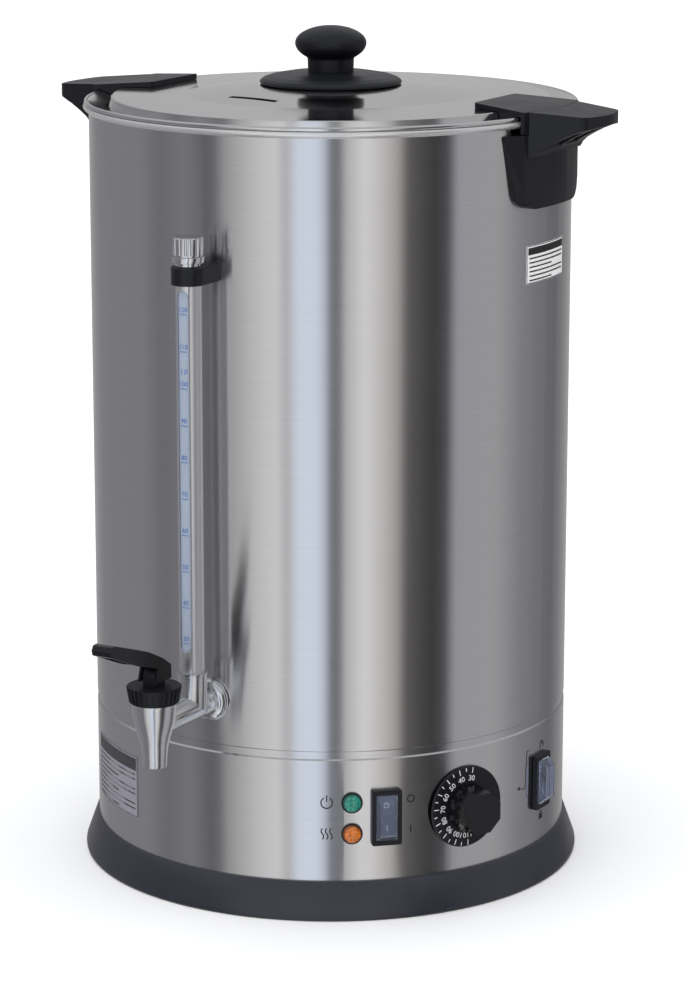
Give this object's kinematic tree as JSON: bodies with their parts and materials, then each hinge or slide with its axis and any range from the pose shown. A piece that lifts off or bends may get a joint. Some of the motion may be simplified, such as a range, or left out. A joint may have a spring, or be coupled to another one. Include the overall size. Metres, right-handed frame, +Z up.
{
  "type": "brew kettle",
  "caption": "Double-walled steel brew kettle with a lift-off lid, spring-closed tap, sight gauge, thermostat dial and electric base.",
  "frame": {"origin": "on the vertical axis of the kettle, at the surface it stands on", "axes": "+Z up along the axis; -Y is the front, with the tap and the gauge; +X is to the right seen from above with the front towards the viewer, and points at one handle"},
  "size_m": [0.405, 0.4663, 0.5623],
  "materials": {
    "brushed_steel": "vertical brushed band, satin",
    "polished_steel": "polished",
    "plated_brass": "bright plated",
    "zinc_screw": "zinc plated",
    "aluminium_cast": "cast",
    "element_sheath": "dark oxidised sheath",
    "brass_stud": "plain turned",
    "copper_bulb": "drawn tube",
    "slate_plastic": "moulded, fine grain",
    "black_plastic": "moulded, fine grain",
    "gloss_black": "moulded, polished",
    "red_plastic": "moulded",
    "ivory_plastic": "moulded",
    "phenolic": "moulded",
    "lead_insulation": "sleeved wire",
    "rubber": "plain",
    "seal_silicone": "plain",
    "clear_cover": "clear flexible cover",
    "sight_glass": "clear tube",
    "scale_film": "printed film",
    "lamp_green": "ribbed lens",
    "lamp_amber": "ribbed lens",
    "label_film": "printed film"
  },
  "bodies": {
    "kettle": {"outer_shell": "brushed_steel", "base_band": "brushed_steel", "inner_tank": "polished_steel", "base_ring": "slate_plastic", "base_plate": "zinc_screw", "feet": "rubber", "case_screws": "zinc_screw", "tie_bolts": "zinc_screw", "heat_plate": "aluminium_cast", "heating_element": "element_sheath", "heat_shield": "polished_steel", "thermostat_body": "phenolic", "sensor_bulbs": "copper_bulb", "cutout_body": "phenolic", "terminal_block": "ivory_plastic", "earth_stud": "brass_stud", "wiring_loom": "lead_insulation", "cord_gland": "black_plastic", "power_switch_housing": "black_plastic", "power_cover": "clear_cover", "mode_switch_housing": "black_plastic", "mode_cover": "clear_cover", "lamp_bodies": "black_plastic", "power_lamp_lens": "lamp_green", "heating_lamp_lens": "lamp_amber", "handle_left": "black_plastic", "handle_right": "black_plastic", "handle_screws": "zinc_screw", "tap_body": "plated_brass", "tap_escutcheon": "plated_brass", "tap_seals": "seal_silicone", "tap_backnut": "zinc_screw", "tap_bonnet": "black_plastic", "lever_pin": "zinc_screw", "tap_spring": "zinc_screw", "gauge_sleeve": "brushed_steel", "gauge_glass": "sight_glass", "gauge_scale": "scale_film", "gauge_bracket": "black_plastic", "gauge_collar": "plated_brass", "safety_plate": "label_film", "reset_plate": "label_film"},
    "dial_assembly": {"thermostat_shaft": "zinc_screw", "thermostat_dial": "black_plastic", "thermostat_knob": "gloss_black"},
    "reset": {"reset_button": "red_plastic"},
    "power": {"power_rocker": "gloss_black"},
    "mode": {"mode_rocker": "gloss_black"},
    "lever": {"tap_lever": "gloss_black"},
    "valve": {"tap_stem": "zinc_screw", "tap_seat_cup": "seal_silicone"},
    "cap": {"gauge_cap": "plated_brass"},
    "plug": {"gauge_plug": "seal_silicone"},
    "lid_carrier": {"knob_screw": "zinc_screw"},
    "lid": {"lid_pan": "polished_steel", "lid_ear_left": "black_plastic", "lid_ear_right": "black_plastic", "ear_screws": "zinc_screw", "lid_knob": "black_plastic", "knob_guard": "black_plastic"}
  },
  "joints": [
    {"name": "lid_lift", "type": "slide", "parent": "kettle", "child": "lid_carrier", "axis": [0, 0, 1], "range_m": [0, 0.2]},
    {"name": "lid_twist", "type": "hinge", "parent": "lid_carrier", "child": "lid", "pos_m": [0, 0, 0.52], "axis": [0, 0, 1], "range_deg": [-45, 45]},
    {"name": "tap_lever_press", "type": "hinge", "parent": "kettle", "child": "lever", "pos_m": [0, -0.2265, 0.175], "axis": [1, 0, 0], "range_deg": [0, 22], "stiffness_Nm_per_rad": 0.25, "springref_deg": -28.65},
    {"name": "valve_lift", "type": "slide", "parent": "kettle", "child": "valve", "axis": [0, 0, 1], "range_m": [0, 0.005], "deforming": ["tap_spring"]},
    {"name": "power_rock", "type": "hinge", "parent": "kettle", "child": "power", "pos_m": [0.10667, -0.11723, 0.0674], "axis": [0.7396, 0.673, 0], "range_deg": [0, 16]},
    {"name": "mode_rock", "type": "hinge", "parent": "kettle", "child": "mode", "pos_m": [0.1585, 0, 0.0674], "axis": [0, 1, 0], "range_deg": [0, 16]},
    {"name": "thermostat_turn", "type": "hinge", "parent": "kettle", "child": "dial_assembly", "pos_m": [0.14218, -0.07338, 0.0674], "axis": [-0.8886, 0.4587, 0], "range_deg": [0, 202]},
    {"name": "reset_press", "type": "slide", "parent": "kettle", "child": "reset", "axis": [0, 0, 1], "range_m": [0, 0.0015], "stiffness_N_per_m": 400, "springref_m": -0.001},
    {"name": "gauge_cap_turn", "type": "hinge", "parent": "kettle", "child": "cap", "pos_m": [0, -0.181, 0.434], "axis": [0, 0, 1], "range_deg": [0, 720]},
    {"name": "gauge_plug_lift", "type": "slide", "parent": "kettle", "child": "plug", "axis": [0, 0, 1], "range_m": [0, 0.0025]}
  ],
  "couplings": [
    {"joint": "valve_lift", "follows": "tap_lever_press", "m_per_rad": 0.011},
    {"joint": "gauge_plug_lift", "follows": "gauge_cap_turn", "m_per_rad": 0.00019894}
  ]
}
